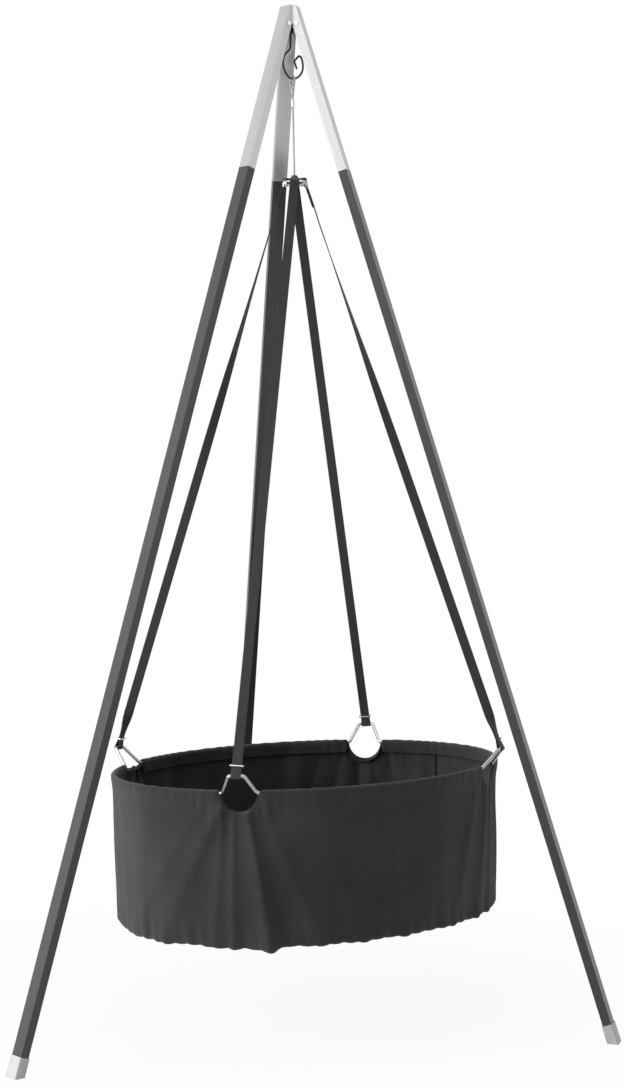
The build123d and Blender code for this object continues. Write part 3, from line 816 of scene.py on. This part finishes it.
def make_painted_slit_shade():
    """Near-black strips that paint the shade in the closed scoop's slit and in the lining's upright opening
    at the back's right end.
    """
    for name, distance, deep, lift in (
        ("left_slit_painted_shade", corner_distance[CLOSED_SCOOP] + SLIT_PLACE, 0.046, 0.0030),
        ("lining_opening_painted_shade", corner_distance["back"] - 0.150, 0.120, -0.0012),
    ):
        path, normals = [], []
        for step in range(16):
            depth = 0.004 + deep * step / 15
            angle = rim_angle(distance)
            offset = hem_bulge(depth) + fold_height(distance, depth) + slack(distance, depth)
            offset += lift - (CLOTH if lift < 0 else 0)
            flat = rim_point(angle, wall_taper(depth)) + rim_normal(angle) * offset
            path.append(hung(flat + UP * (RIM_HEIGHT - depth)))
            normals.append(lean @ rim_normal(angle))
        half = 0.0060 if lift > 0 else 0.0014
        # a dark strip behind the gap: painted shade, so the gap looks dark
        facing = tube(name, path, [(half, 0.0007)] * len(path), normals, sides=8)
        settle(facing, shadow_tape, "cradle")


def make_hem_stitching():
    spots = []
    pitch, depth, beside_scoop = 0.0042, 0.015, 0.012
    for step in range(int(PERIMETER / pitch)):
        distance = step * pitch
        nearest = min(abs(step_between(distance, start)) for start in corner_distance.values())
        if nearest < SCOOP_RADIUS + beside_scoop:
            continue
        angle = rim_angle(distance)
        offset = hem_bulge(depth) + fold_height(distance, depth)
        offset += slack(distance, depth) + gathers(distance, depth)
        flat = rim_point(angle, wall_taper(depth)) + rim_normal(angle) * (offset + 0.0001)
        place = flat + UP * (RIM_HEIGHT - depth)
        way = (rim_point(rim_angle(distance + 0.001)) - rim_point(angle)).normalized()
        spots.append((hung(place), lean @ way, lean @ rim_normal(angle)))
    thread = stitches("hem_stitching", spots, 0.0028, 0.00038)
    settle(thread, sewing_thread, "cradle")
    return thread


def make_side_seams():
    """Two upright seams, at the rim's far ends, where the wall's two lengths of cloth meet."""
    for name, distance in {"left_end": rim_distance(math.pi) + 0.012, "right_end": 0.006}.items():
        path, normals = [], []
        for step in range(40):
            depth = 0.008 + (WALL_HEIGHT - 0.012) * step / 39
            angle = rim_angle(distance)
            offset = hem_bulge(depth) + fold_height(distance, depth) + slack(distance, depth) + 0.0002
            flat = rim_point(angle, wall_taper(depth)) + rim_normal(angle) * offset
            path.append(hung(flat + UP * (RIM_HEIGHT - depth)))
            normals.append(lean @ rim_normal(angle))
        seam = tube(f"{name}_seam", path, [(0.0022, 0.0009)] * len(path), normals, sides=8)
        settle(seam, binding_tape, "cradle")


# ================================================================ the mattress
def make_mattress():
    level_low = RIM_HEIGHT - WALL_HEIGHT + 0.0062
    thickness = 0.038
    half_long = RIM_LONG * WALL_TAPER - 0.0015 - 0.014
    half_short = RIM_SHORT * WALL_TAPER - 0.0015 - 0.014
    fresh()
    bpy.ops.mesh.primitive_cylinder_add(
        vertices=128, radius=1, depth=thickness - 0.006, end_fill_type="NGON",
        location=hang_line + UP * (level_low + thickness / 2),
    )
    pad = bpy.context.object
    pad.name = "mattress_pad"
    pad.scale = (half_long, half_short, 1)
    pad.rotation_euler = (0, 0, BASKET_TURN)
    bpy.ops.object.transform_apply(location=True, rotation=True, scale=True)
    bpy.ops.object.mode_set(mode="EDIT")
    bpy.ops.mesh.select_all(action="SELECT")
    bpy.ops.mesh.bevel(offset=0.009, segments=4)
    bpy.ops.object.mode_set(mode="OBJECT")
    remesh = pad.modifiers.new("voxels", "REMESH")
    remesh.mode = "VOXEL"
    remesh.voxel_size = 0.006
    bpy.ops.object.modifier_apply(modifier=remesh.name)
    start = [vertex.co.copy() for vertex in pad.data.vertices]
    cloth = pad.modifiers.new("stuffing", "CLOTH")
    cloth.settings.use_pressure = True
    cloth.settings.uniform_pressure_force = 3.2
    cloth.settings.effector_weights.gravity = 0
    cloth.settings.quality = 4
    cloth.settings.tension_stiffness = 12
    cloth.settings.compression_stiffness = 12
    cloth.point_cache.frame_start = 1
    cloth.point_cache.frame_end = 20
    for step in range(1, 21):
        bpy.context.scene.frame_set(step)
    bpy.ops.object.modifier_apply(modifier=cloth.name)
    bpy.context.scene.frame_set(1)
    cap = 0.0085
    for vertex, was in zip(pad.data.vertices, start):
        moved = vertex.co - was
        if moved.length > cap:
            moved *= cap / moved.length
        spot = was + moved
        spot.z = max(spot.z, level_low + 0.0004)
        across = Vector((spot.x, spot.y, 0)) - hang_line
        x, y = across.dot(long_axis) / (half_long + 0.006), across.dot(short_axis) / (half_short + 0.006)
        reach = math.hypot(x, y)
        if reach > 1:
            pulled = hang_line + across / reach
            spot.x, spot.y = pulled.x, pulled.y
        vertex.co = spot
    rounder = pad.modifiers.new("rounder", "SUBSURF")
    rounder.levels = rounder.render_levels = 1
    bpy.ops.object.modifier_apply(modifier=rounder.name)
    soften(pad)
    layer = pad.data.uv_layers.new(name="UVMap") if not pad.data.uv_layers else pad.data.uv_layers.active
    for corner in pad.data.loops:
        spot = pad.data.vertices[corner.vertex_index].co
        layer.data[corner.index].uv = (spot.x + spot.z, spot.y + spot.z)
    hang(pad)
    settle(pad, lining_jersey, "cradle", ["mattress"])
    for name, height in {"upper": level_low + thickness - 0.0065, "lower": level_low + 0.0065}.items():
        path, normals = [], []
        for step in range(160):
            angle = math.tau * step / 160
            flat = long_axis * ((half_long + 0.003) * math.cos(angle))
            flat += short_axis * ((half_short + 0.003) * math.sin(angle))
            path.append(hung(hang_line + flat + UP * height))
            normals.append(lean @ rim_normal(angle))
        round_cord = [(0.0019, 0.0019)] * len(path)
        piping = tube(f"mattress_{name}_piping", path, round_cord, normals, closed=True, sides=8)
        settle(piping, binding_tape, "cradle")
    return pad


# ================================================================ the webbing straps
def link_bar(corner):
    """Middle and direction of a corner link's top bar, as it would hang straight."""
    angle = corners[corner]
    out = rim_normal(angle)
    feet = [rim_point(rim_angle(corner_distance[corner] + side * LINK_HALF_BASE)) for side in (-1, 1)]
    rise = out * math.sin(LINK_LEAN) + UP * math.cos(LINK_LEAN)
    middle = (feet[0] + feet[1]) / 2 + UP * RIM_HEIGHT + rise * LINK_LENGTH
    return middle, UP.cross(out)


def square(direction, along):
    return (direction - along * direction.dot(along)).normalized()


def loop_round(centre, bar, inward, radius, count=14):
    """Points round a bar, from one side of the strap over the far side to the other."""
    flat = square(inward, bar)
    side = bar.cross(flat)
    points = []
    for step in range(count + 1):
        turn = math.radians(62 + (360 - 2 * 62) * step / count)
        points.append(centre + flat * (radius * math.cos(turn)) + side * (radius * math.sin(turn)))
    return points


def make_strap(corner, side_turn):
    """One length of webbing: sewn tail, loop over the ring, the run down, loop round the link, sewn tail."""
    bar_middle, bar = link_bar(corner)
    side_out = towards(RING_TURN + math.radians(side_turn))
    ring = UP.cross(side_out)
    top = hang_line + UP * RING_HEIGHT + side_out * (RING_SIDE / 2)
    along = (bar_middle - top).normalized()
    length = (bar_middle - top).length
    level = square(towards(RING_TURN), along)
    if level.dot(ring) < 0:
        ring = -ring
    if level.dot(bar) < 0:
        bar = -bar
    ring_across, bar_across = square(ring, along), square(bar, along)
    half = STRAP_THICKNESS / 2 + 0.0001
    points, widths = [], []

    def add(point, across):
        points.append(point)
        widths.append(across.normalized())

    def run_width(share):
        upper = smooth(RING_TAIL / length, 0.62, share)
        lower = smooth(1 - LINK_TAIL / length, 1 - LINK_TURN_REACH / length, share)
        turned = ring_across * (1 - upper) + level * upper
        return (turned * (1 - lower) + bar_across * lower).normalized()

    ring_radius = RING_ROD + STRAP_PLAY + STRAP_THICKNESS / 2
    link_radius = ROD + STRAP_PLAY + STRAP_THICKNESS / 2
    first_loop = loop_round(top, ring_across, along, ring_radius)
    ring_side = ring_across.cross(square(along, ring_across))
    for step in range(10):
        place = RING_TAIL - (RING_TAIL - 0.012) * step / 9
        add(top + along * place + ring_side * half, ring_across)
    for point in first_loop:
        add(point, ring_across)
    last_side = None
    for step in range(90):
        share = (0.012 + (length - 0.030) * step / 89) / length
        across = run_width(share)
        normal = across.cross(along)
        if last_side is None:
            last_side = -1 if normal.dot(ring_side) > 0 else 1
        near_top = 1 - smooth(RING_TAIL, RING_TAIL + 0.03, share * length)
        near_link = smooth(length - LINK_TAIL - 0.045, length - LINK_TAIL - 0.015, share * length)
        lift = half * (near_top + near_link)
        add(top + along * (share * length) + normal * (last_side * lift), across)
    second_loop = loop_round(bar_middle, bar_across, -along, link_radius)
    bar_side = bar_across.cross(square(-along, bar_across))
    run_normal = bar_across.cross(along) * last_side
    if bar_side.dot(run_normal) < 0:
        second_loop.reverse()
    for point in second_loop:
        add(point, bar_across)
    for step in range(12):
        place = length - 0.018 - (LINK_TAIL - 0.018) * step / 11
        across = run_width(place / length)
        normal = across.cross(along) * last_side
        add(top + along * place - normal * half, across)

    count = len(points)
    runs = [0.0]
    for j in range(1, count):
        runs.append(runs[-1] + (points[j] - points[j - 1]).length)

    def place_spot(i, j):
        across = widths[j]
        return hung(points[j] + across * (STRAP_WIDTH * (i / 6 - 0.5)))

    def strap_uv(i, j):
        return (STRAP_WIDTH * i / 6, runs[j])

    strap = sheet_grid(f"{corner}_webbing", 6, count - 1, place_spot, uv=strap_uv)
    thicken(strap, STRAP_THICKNESS * 0.92, 0.0)
    fresh()
    strap.select_set(True)
    bpy.context.view_layer.objects.active = strap
    edge = strap.modifiers.new("rounded edges", "BEVEL")
    edge.width = 0.0005
    edge.segments = 2
    edge.limit_method = "ANGLE"
    bpy.ops.object.modifier_apply(modifier=edge.name)
    outward(strap)
    soften(strap)
    settle(strap, webbing, "cradle", [f"{corner}_strap"])

    spots = []

    def add_threads(spot, normal, way):
        for face in (-1, 1):
            outside = spot + normal * (face * (2 * half + 0.0001))
            spots.append((hung(outside), lean @ way, lean @ (normal * face)))

    for start, end in ((0.016, RING_TAIL - 0.003), (length - LINK_TAIL + 0.003, length - 0.024)):
        for side in (-1, 1):
            rows = int((end - start) / 0.0036)
            for step in range(rows):
                place = start + 0.0036 * (step + 0.5)
                across = run_width(place / length)
                normal = across.cross(along)
                spot = top + along * place + across * (side * (STRAP_WIDTH / 2 - 0.0022))
                add_threads(spot, normal, along)
        for step in range(5):
            for place in (start, end):
                across = run_width(place / length)
                normal = across.cross(along)
                spot = top + along * place + across * ((step / 4 - 0.5) * (STRAP_WIDTH - 0.0044))
                add_threads(spot, normal, across)
    thread = stitches(f"{corner}_strap_stitching", spots, 0.0026, 0.00032)
    settle(thread, sewing_thread, "cradle")
    return strap


# ================================================================ put the soft parts together
wall = make_basket_wall()
settle(wall, basket_canvas, "cradle", ["basket"])
bottom = make_basket_bottom()
settle(bottom, basket_canvas, "cradle")
make_scoop_bindings()
make_painted_slit_shade()
hem_thread = make_hem_stitching()
make_side_seams()
make_mattress()
for corner, side_turn in {"right": 0, "back": 90, "left": 180, "front": 270}.items():
    make_strap(corner, side_turn)


# ================================================================ floor, light and camera
def seen_straight(tree):
    """1 for what is seen, straight or in metal or glass, and 0 for the light on the object."""
    path = tree.nodes.new("ShaderNodeLightPath")
    seen = path.outputs["Is Camera Ray"]
    for ray in ("Is Glossy Ray", "Is Transmission Ray"):
        either = tree.nodes.new("ShaderNodeMath")
        either.operation = "MAXIMUM"
        tree.links.new(seen, either.inputs[0])
        tree.links.new(path.outputs[ray], either.inputs[1])
        seen = either.outputs[0]
    return seen


def make_floor():
    fresh()
    bpy.ops.mesh.primitive_plane_add(size=60, location=(0, 0, 0))
    floor = bpy.context.object
    floor.name = "floor"
    material = bpy.data.materials.new("pale_floor")
    material.use_nodes = True
    tree = material.node_tree
    tree.nodes.clear()
    output = tree.nodes.new("ShaderNodeOutputMaterial")
    mix = tree.nodes.new("ShaderNodeMixShader")
    matt = tree.nodes.new("ShaderNodeBsdfDiffuse")
    matt.inputs["Color"].default_value = (0.92, 0.92, 0.92, 1)
    white = tree.nodes.new("ShaderNodeEmission")
    white.inputs["Strength"].default_value = 1.0
    place = tree.nodes.new("ShaderNodeTexCoord")
    away = tree.nodes.new("ShaderNodeVectorMath")
    away.operation = "LENGTH"
    fade = tree.nodes.new("ShaderNodeMapRange")
    fade.interpolation_type = "SMOOTHSTEP"
    for socket, value in {"From Min": 0.35, "From Max": 1.1, "To Min": 0.93, "To Max": 1.0}.items():
        fade.inputs[socket].default_value = value
    tree.links.new(place.outputs["Object"], away.inputs[0])
    tree.links.new(away.outputs["Value"], fade.inputs["Value"])
    share = tree.nodes.new("ShaderNodeMath")
    share.operation = "MULTIPLY"
    tree.links.new(seen_straight(tree), share.inputs[0])
    tree.links.new(fade.outputs["Result"], share.inputs[1])
    tree.links.new(share.outputs[0], mix.inputs["Fac"])
    tree.links.new(matt.outputs[0], mix.inputs[1])
    tree.links.new(white.outputs[0], mix.inputs[2])
    tree.links.new(mix.outputs[0], output.inputs["Surface"])
    floor.data.materials.append(material)


def make_world():
    world = bpy.data.worlds.new("studio")
    bpy.context.scene.world = world
    world.use_nodes = True
    tree = world.node_tree
    tree.nodes.clear()
    output = tree.nodes.new("ShaderNodeOutputWorld")
    seen = tree.nodes.new("ShaderNodeBackground")
    seen.inputs["Color"].default_value = (1, 1, 1, 1)
    seen.inputs["Strength"].default_value = 1.0
    ambient = tree.nodes.new("ShaderNodeBackground")
    ambient.inputs["Color"].default_value = (1, 1, 1, 1)
    ambient.inputs["Strength"].default_value = 0.18
    mix = tree.nodes.new("ShaderNodeMixShader")
    tree.links.new(seen_straight(tree), mix.inputs["Fac"])
    tree.links.new(ambient.outputs[0], mix.inputs[1])
    tree.links.new(seen.outputs[0], mix.inputs[2])
    tree.links.new(mix.outputs[0], output.inputs["Surface"])


def softbox(name, place, aim, size, power):
    light = bpy.data.lights.new(name, "AREA")
    light.shape = "RECTANGLE"
    light.size, light.size_y = size
    light.energy = power
    lamp = bpy.data.objects.new(name, light)
    bpy.context.scene.collection.objects.link(lamp)
    lamp.location = place
    lamp.rotation_mode = "QUATERNION"
    lamp.rotation_quaternion = (Vector(aim) - Vector(place)).to_track_quat("-Z", "Y")


def make_camera():
    data = bpy.data.cameras.new("camera")
    camera = bpy.data.objects.new("camera", data)
    bpy.context.scene.collection.objects.link(camera)
    bpy.context.scene.camera = camera
    turn = math.radians(-11.4)
    away = Matrix.Rotation(turn, 3, "Z") @ Vector((0.0006, -3.931, 0))
    camera.location = Vector((0, STAND_AXIS_Y, 0)) + away + UP * 1.025
    heading = turn - math.radians(0.795)
    pitch, roll = math.radians(-2.228), math.radians(0.129)
    level = Vector((-math.sin(heading), math.cos(heading), 0))
    forward = level * math.cos(pitch) + UP * math.sin(pitch)
    aim = forward.to_track_quat("-Z", "Y")
    camera.rotation_mode = "QUATERNION"
    camera.rotation_quaternion = aim @ Quaternion((0, 0, 1), roll)
    data.sensor_fit = "AUTO"
    data.sensor_width = 36
    data.lens = 70.88
    data.shift_x = -0.007
    data.clip_start, data.clip_end = 0.05, 100


make_floor()
make_world()
softbox("key", (-3.9, -1.0, 1.8), (0, -0.15, 0.6), (2.8, 3.2), 165)
softbox("fill", (3.2, -2.6, 1.6), (0, -0.1, 0.7), (2.4, 2.8), 12)
softbox("top", (-0.4, -0.4, 4.2), (0, -0.1, 0.5), (2.4, 2.4), 45)
make_camera()

bpy.context.scene.view_settings.view_transform = "Standard"
